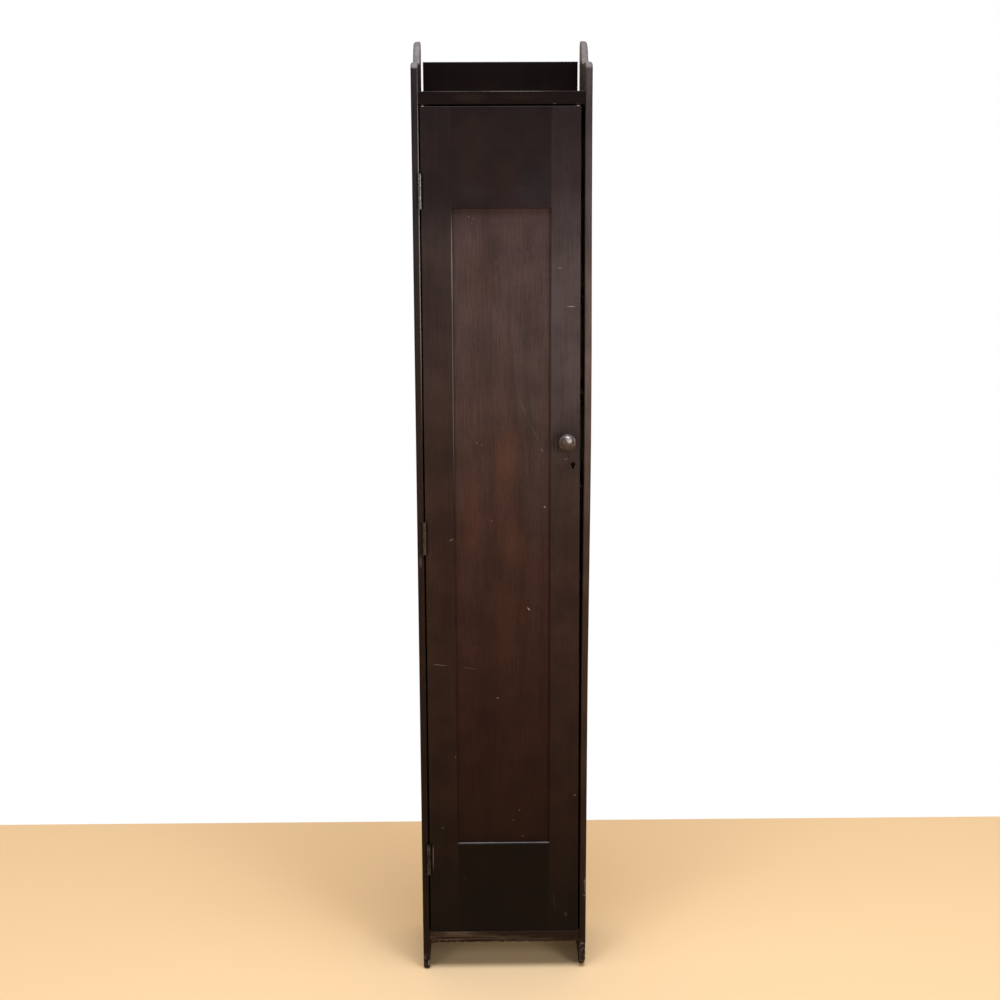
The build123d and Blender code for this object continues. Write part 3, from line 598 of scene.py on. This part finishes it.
worn_board(
    "bottom_board", BOTTOM_TONES, shift=(0.2, 0.9, 0.1), strip=0.0035, wear=0.0011, chips=BOTTOM_CHIPS,
    patches=BOTTOM_PATCHES, marks_and_highlights=(), seed=5.0, rubbed=0.3, streaky=(-0.1, 1.1),
)
worn_board(
    "top_board", TOP_TONES, shift=(0.5, 0.2, 0.7), strip=0.0022, wear=0.0, chips=TOP_CHIPS,
    patches=TOP_PATCHES, marks_and_highlights=TOP_MARKS_AND_HIGHLIGHT, seed=8.0, rubbed=0.05, streaky=(0.35, 1.0),
)

# Back board. One wide thin board behind everything, shrunk clear of the sides, with its upper end left
# standing as a low gallery behind the top.
BACK_TONES = ((0.0, DEEP_BROWN), (1.34, (0.012, 0.006, 0.004)), (1.40, (0.004, 0.0015, 0.001)))
back_stain = stained_wood("back stain", GRAIN_UP, (0.4, 0.3, 0.6), BACK_TONES, rough=(0.6, 0.7), rubbed=0.35)
dress(["back_board"], back_stain)

# Shelves and pegs. Thin shelves housed in the sides, each with short turned pegs that the hollow
# cylinders stand over. The shelves are stained like the case, and the pegs are left lighter.
SHELF_TONES = ((0.0, (0.012, 0.006, 0.0035)), (CABINET_HEIGHT, (0.014, 0.007, 0.0042)))
PEG_TONES = ((0.0, (0.085, 0.046, 0.024)), (CABINET_HEIGHT, (0.095, 0.052, 0.028)))
shelf_names = sorted(name for name in nodes if name.startswith("shelf_"))
peg_names = sorted(name for name in nodes if name.startswith("pegs_"))
shelf_stain = stained_wood(
    "shelf stain", GRAIN_ACROSS, (0.6, 0.2, 0.4), SHELF_TONES, rubbed=0.1, dust_and_sheen=0.3, rough=(0.55, 0.65)
)
peg_stain = stained_wood(
    "peg stain", GRAIN_UP, (0.9, 0.4, 0.3), PEG_TONES, rubbed=0.4, dust_and_sheen=0.3, rough=(0.45, 0.55)
)
dress(shelf_names, shelf_stain)
dress(peg_names, peg_stain)

# Door frame. Two stiles and two deep rails, tenoned together and planed flush. The lock stile has lost
# a shaving more from its upper end, so that the door would close.
top_rail_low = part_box("door_top_rail")[0]
OPENING_LOW, OPENING_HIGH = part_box("door_bottom_rail")[1][2], top_rail_low[2]
PANEL_LEFT, PANEL_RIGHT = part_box("door_hinge_stile")[1][0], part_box("door_lock_stile")[0][0]
KNOB_X, KNOB_Z = 0.0958, 0.868
OPENING_LEFT = PANEL_LEFT - CASE_MIDDLE
LOW_JOINT, HIGH_JOINT = (0.0, OPENING_LOW - MARGIN), (OPENING_HIGH + MARGIN, CABINET_HEIGHT)
RAIL_BUTTS = ((PANEL_LEFT, *EVERY_LEVEL), (PANEL_RIGHT, *EVERY_LEVEL))
# The stiles' and rails' tones grow lighter and greyer towards the top, most of all on the lock stile: that is
# a painted sheen. They grow darker towards the floor.
HINGE_TONES = (
    (0.07, NEAR_BLACK_BROWN),
    (0.16, DARK_BROWN),
    (0.28, DEEP_BROWN),
    (0.66, (0.029, 0.0140, 0.0098)),
    (1.05, (0.036, 0.023, 0.022)),
    (1.18, (0.029, 0.020, 0.020)),
    (1.25, (0.0150, 0.0098, 0.0100)),
)
LOCK_TONES = (
    (0.07, NEAR_BLACK_BROWN),
    (0.16, DARK_BROWN),
    (0.28, DEEP_BROWN),
    (0.66, (0.033, 0.0170, 0.0135)),
    (0.84, (0.038, 0.0255, 0.0235)),
    (0.98, GREY_BROWN),
    (1.14, GREY_BROWN),
    (1.24, (0.029, 0.0205, 0.0215)),
    (1.34, (0.021, 0.0140, 0.0148)),
)
RAIL_TONES = (
    (0.07, (0.0038, 0.0013, 0.0010)),
    (0.22, (0.0052, 0.0018, 0.0012)),
    (1.22, (0.0190, 0.0118, 0.0120)),
    (1.34, (0.0128, 0.0082, 0.0083)),
)
# A painted highlight along the edge of the bottom hinge's recess in the stile.
HINGE_RELIEF_HIGHLIGHT = ((-0.1130, 0.192, 0, 0.0013, 0.026, (0.150, 0.125, 0.108), 0.8),)
LOCK_SHADOW_AND_PATCHES = (
    # The first patch is a painted shadow of the knob, falling to its left.
    (KNOB_X - 0.008, KNOB_Z - 0.003, 0, 0.019, 0.019, NEAR_BLACK_BROWN, 0.65),
    (KNOB_X - 0.004, KNOB_Z - 0.032, 0, 0.012, 0.008, GREY_BROWN, 0.4),
)
HINGE_MARKS_AND_HIGHLIGHT = (
    # The two long thin marks are a painted highlight on the stile's edge beside the panel.
    (OPENING_LEFT - 0.0007, 1.135, 0, 0.0010, 0.075, 0.6),
    (OPENING_LEFT - 0.0007, 0.98, 0, 0.0009, 0.20, 0.35),
    (-0.0790, 0.7143, 60, 0.0012, 0.0045, 0.3),
    (-0.0990, 0.5151, 8, 0.0130, 0.0004, 0.5),
    (-0.0756, 0.3638, 20, 0.0010, 0.0010, 0.6),
    (-0.0973, 0.2446, 0, 0.0012, 0.0009, 0.5),
)
LOCK_MARKS = (
    (0.1015, 1.0682, 0, 0.0070, 0.0007, 1.0),
    (0.0842, 1.1248, 12, 0.0046, 0.0008, 0.45),
    (0.0945, 0.8389, 0, 0.0034, 0.0016, 0.22),
    (0.1115, 0.2985, 60, 0.0022, 0.0007, 0.7),
    (0.0984, 0.0948, 75, 0.0060, 0.0030, 0.06),
    (0.0800, 0.1170, 82, 0.0200, 0.0006, 0.06),
)
RAIL_MARKS = (
    (-0.0632, 0.1587, 20, 0.0030, 0.0010, 0.06),
    (0.0533, 0.1611, 30, 0.0018, 0.0009, 0.05),
)
# The greyer of these patches are a painted sheen; the redder ones are the stain.
RAIL_PATCHES = (
    (-0.045, 1.300, 0, 0.030, 0.050, (0.021, 0.0112, 0.0098), 0.7),
    (0.000, 1.265, 5, 0.036, 0.030, (0.023, 0.0120, 0.0100), 0.6),
    (0.045, 1.240, 0, 0.034, 0.032, (0.0185, 0.0165, 0.0200), 0.7),
    (-0.050, 1.230, 0, 0.028, 0.020, (0.020, 0.0145, 0.0150), 0.6),
)
hinge_butts = ((PANEL_LEFT, *LOW_JOINT), (PANEL_LEFT, *HIGH_JOINT))
lock_butts = ((PANEL_RIGHT, *LOW_JOINT), (PANEL_RIGHT, *HIGH_JOINT))
hinge_stile = stained_wood(
    "hinge stile stain", GRAIN_UP, (0.1, 0.8, 0.5), HINGE_TONES, HINGE_RELIEF_HIGHLIGHT, HINGE_MARKS_AND_HIGHLIGHT, hinge_butts,
    rubbed=0.12, dust_and_sheen=0.1, cloudy=0.2, figured=0.6,
)
lock_stile = stained_wood(
    "lock stile stain", GRAIN_UP, (0.5, 0.6, 0.9), LOCK_TONES, LOCK_SHADOW_AND_PATCHES, LOCK_MARKS, lock_butts,
    rubbed=0.12, dust_and_sheen=0.1, cloudy=0.2, figured=0.6,
)
top_rail_stain = stained_wood(
    "top rail stain", GRAIN_ACROSS, (0.8, 0.7, 0.3), RAIL_TONES, RAIL_PATCHES, butts=RAIL_BUTTS,
    rubbed=0.1, dust_and_sheen=0.1, cloudy=0.26, figured=0.35,
)
# On the bottom rail, the grey on its upward ledge is dust and a painted highlight.
bottom_rail_stain = stained_wood(
    "bottom rail stain", GRAIN_ACROSS, (0.4, 0.9, 0.6), RAIL_TONES, marks_and_highlights=RAIL_MARKS, butts=RAIL_BUTTS,
    rubbed=0.3, dust_and_sheen=0.88, dust_and_sheen_from=0.75, cloudy=0.2, figured=0.35,
)
dress(["door_hinge_stile"], hinge_stile)
dress(["door_lock_stile"], lock_stile)
dress(["door_top_rail"], top_rail_stain)
dress(["door_bottom_rail"], bottom_rail_stain)

# Door panel. One flat thin board in grooves, redder than the frame round it, most of all in its middle.
# The panel grows lighter and greyer upwards: a painted sheen over the redder stain.
PANEL_TONES = (
    (0.22, (0.0112, 0.0038, 0.0020)),
    (0.42, (0.0205, 0.0072, 0.0048)),
    (0.68, (0.0345, 0.0157, 0.0122)),
    (0.86, (0.049, 0.0268, 0.0228)),
    (1.06, (0.058, 0.0380, 0.0375)),
    (1.20, (0.050, 0.0325, 0.0332)),
)
# The greyer patches are a painted sheen; the redder ones are the stain.
PANEL_PATCHES = (
    (-0.034, 1.110, 0, 0.024, 0.070, (0.066, 0.0360, 0.0300), 0.7),
    (0.038, 0.960, 0, 0.030, 0.100, (0.056, 0.0400, 0.0400), 0.8),
    (0.004, 0.825, 0, 0.018, 0.080, (0.066, 0.0290, 0.0190), 0.75),
    (-0.046, 0.745, 0, 0.016, 0.060, (0.056, 0.0240, 0.0155), 0.7),
    (0.016, 0.700, 0, 0.018, 0.060, (0.054, 0.0235, 0.0150), 0.6),
    (0.048, 0.840, 0, 0.030, 0.150, (0.041, 0.0278, 0.0258), 0.8),
    (-0.068, 0.900, 0, 0.010, 0.160, (0.044, 0.0290, 0.0265), 0.6),
    (0.000, 0.580, 0, 0.026, 0.090, (0.042, 0.0160, 0.0095), 0.6),
)
PANEL_MARKS = (
    (0.0390, 0.6028, 50, 0.0040, 0.0010, 1.0),
    (-0.0093, 0.4589, 4, 0.0022, 0.0006, 0.9),
    (0.0632, 0.7638, 40, 0.0016, 0.0012, 1.0),
    (-0.0174, 0.7425, 0, 0.0010, 0.0010, 0.7),
    (-0.0394, 0.8633, 0, 0.0012, 0.0010, 0.7),
    (-0.0319, 0.8601, 0, 0.0010, 0.0008, 0.6),
    (0.0312, 0.9139, 72, 0.0160, 0.0004, 0.22),
    (0.0487, 0.8760, 62, 0.0220, 0.0004, 0.22),
    (0.0585, 0.8519, 50, 0.0040, 0.0006, 0.6),
    (-0.0526, 0.5082, 10, 0.0140, 0.0003, 0.35),
    (-0.0489, 1.1990, 0, 0.0009, 0.0009, 0.7),
    (-0.0416, 1.1961, 0, 0.0007, 0.0007, 0.7),
    (-0.0446, 1.1903, 0, 0.0007, 0.0007, 0.6),
    (0.0248, 0.2718, 0, 0.0009, 0.0008, 0.6),
    (0.0153, 0.2549, 0, 0.0008, 0.0008, 0.6),
    (0.0295, 0.2280, 30, 0.0012, 0.0007, 0.6),
)
panel_stain = stained_wood(
    "panel stain", GRAIN_UP, (0.25, 0.35, 0.15), PANEL_TONES, PANEL_PATCHES, PANEL_MARKS
)
dress(["door_panel"], panel_stain)


# Hinges. Three butt hinges of plain iron, oxidised nearly black, let into the side and the door's edge
# and screwed there.
PAINTED_HIGHLIGHT_TONE = (0.90, 0.83, 0.78, 1.0)
PAINTED_HIGHLIGHT_HALF_DEPTH = 0.2
DARKEST_LEVEL, FULL_TONE_LEVEL, KEPT_AT_DARKEST = 0.3, 1.4, 0.14


def old_metal(name, colour, bright, roughness, shine=1.0, dents=0.0001, reach=0.0008, painted_highlights=()):
    """
    Oxidised metal, rubbed brighter on its corners, darker towards the floor, and darker on its underside as
    painted shade. Painted highlights are bright spots (x, z, half width, half height, share).
    """
    made = bpy.data.materials.new(name)
    made.use_nodes = True
    tree = made.node_tree
    shader = tree.nodes["Principled BSDF"]
    place = put(tree, "ShaderNodeTexCoord").outputs["Object"]
    patches = put(tree, "ShaderNodeTexNoise", Vector=place, Scale=150.0, Detail=4.0)
    spread = ranged(tree, patches.outputs["Fac"], 0.35, 0.7)
    edge = placed(tree, RUBBED, Vector=place, Reach=reach).outputs["Rubbed"]
    share = reckon(tree, "MAXIMUM", reckon(tree, "MULTIPLY", spread, 0.12), edge)
    level = put(tree, "ShaderNodeSeparateXYZ", Vector=place).outputs["Z"]
    # Darker towards the floor.
    kept = ranged(tree, level, DARKEST_LEVEL, FULL_TONE_LEVEL, KEPT_AT_DARKEST, 1.0)
    # Painted shade: darker where the surface faces down.
    true = put(tree, "ShaderNodeNewGeometry").outputs["Normal"]
    rise = put(tree, "ShaderNodeSeparateXYZ", Vector=true).outputs["Z"]
    kept = reckon(tree, "MULTIPLY", kept, ranged(tree, rise, -0.5, 0.1, 0.35, 1.0))
    darkened_and_shaded = scaled(tree, colour[:3], kept)
    shown = blended(tree, share, darkened_and_shaded, bright)
    # Painted highlights: spots mixed towards a bright tone.
    for x, z, half_x, half_z, highlight_share in painted_highlights:
        spot = marked(tree, place, x, z, 0, half_x, half_z, 0.5, 450.0, PAINTED_HIGHLIGHT_HALF_DEPTH)
        shown = blended(tree, reckon(tree, "MULTIPLY", spot, highlight_share), shown, PAINTED_HIGHLIGHT_TONE)
    tree.links.new(shown, shader.inputs["Base Color"])
    gloss = ranged(tree, patches.outputs["Fac"], 0.3, 0.7, roughness + 0.12, roughness - 0.06)
    tree.links.new(gloss, shader.inputs["Roughness"])
    shader.inputs["Metallic"].default_value = shine
    bump = put(tree, "ShaderNodeBump", Height=patches.outputs["Fac"], Strength=0.3, Distance=dents)
    tree.links.new(bump.outputs["Normal"], shader.inputs["Normal"])
    return made


hinge_iron = old_metal(
    "hinge iron", (0.160, 0.155, 0.157, 1), (0.38, 0.37, 0.37, 1), 0.26, 1.0, dents=0.00002, reach=0.0002
)
screw_steel = old_metal("screw steel", (0.09, 0.075, 0.06, 1), (0.28, 0.25, 0.22, 1), 0.5, 0.9)
iron_names = sorted(name for name in nodes if name.startswith("hinge_") and not name.endswith("screws"))
steel_names = sorted(name for name in nodes if name.endswith(("_screws", "_nails", "knob_screw")))
dress(iron_names, hinge_iron)
dress(steel_names, screw_steel)

# Knob. A turned brass knob, gone a dull brown, with a thin rim round a low dome. It is screwed on from
# behind. Handling has dented the dome a little, and a painted highlight sits on the dome right of its
# middle. The profile is given as (radius, distance from the door).
KNOB_PROFILE = (
    (0.0, 0.0),
    (0.0075, 0.0),
    (0.0075, 0.0016),
    (0.0072, 0.0018),
    (0.0052, 0.0032),
    (0.0043, 0.0056),
    (0.0043, 0.0092),
    (0.0056, 0.0128),
    (0.0086, 0.0162),
    (0.0119, 0.0184),
    (0.0126, 0.0194),
    (0.0127, 0.0206),
    (0.0122, 0.0218),
    (0.0108, 0.0226),
    (0.0102, 0.0227),
    (0.0092, 0.0238),
    (0.0070, 0.0255),
    (0.0040, 0.0267),
    (0.0, 0.0270),
)
KNOB_STEPS = 72
KNOB_WELD = 0.00001
knob_low, knob_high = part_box("knob")
knob_middle = [(knob_low[0] + knob_high[0]) / 2, knob_high[1], (knob_low[2] + knob_high[2]) / 2]
turning = bmesh.new()
line = [
    turning.verts.new((knob_middle[0] + radius, knob_middle[1] - reach, knob_middle[2]))
    for radius, reach in KNOB_PROFILE
]
for first, second in zip(line, line[1:]):
    turning.edges.new((first, second))
bmesh.ops.spin(
    turning, geom=[*turning.verts, *turning.edges], cent=knob_middle, axis=(0, 1, 0),
    angle=math.tau, steps=KNOB_STEPS, use_merge=True,
)
bmesh.ops.remove_doubles(turning, verts=turning.verts, dist=KNOB_WELD)
bmesh.ops.recalc_face_normals(turning, faces=turning.faces)
turning.verts.layers.float.new("worn")
knob_brass = old_metal(
    "knob brass", (0.180, 0.143, 0.146, 1), (0.50, 0.45, 0.45, 1), 0.40, 0.85, 0.0025,
    # A painted highlight on the dome, right of its middle.
    painted_highlights=((KNOB_X + 0.0024, KNOB_Z + 0.0042, 0.0054, 0.0050, 0.42),),
)
finish_copy(turning, "turned_knob", "knob", "door", knob_brass)

# Lock. A small brass cupboard lock let into the back of the lock stile and screwed there, with a bolt
# that slides into the side board.
dress(["lock_plate", "lock_case", "lock_bolt", "lock_bolt_spring"], knob_brass)
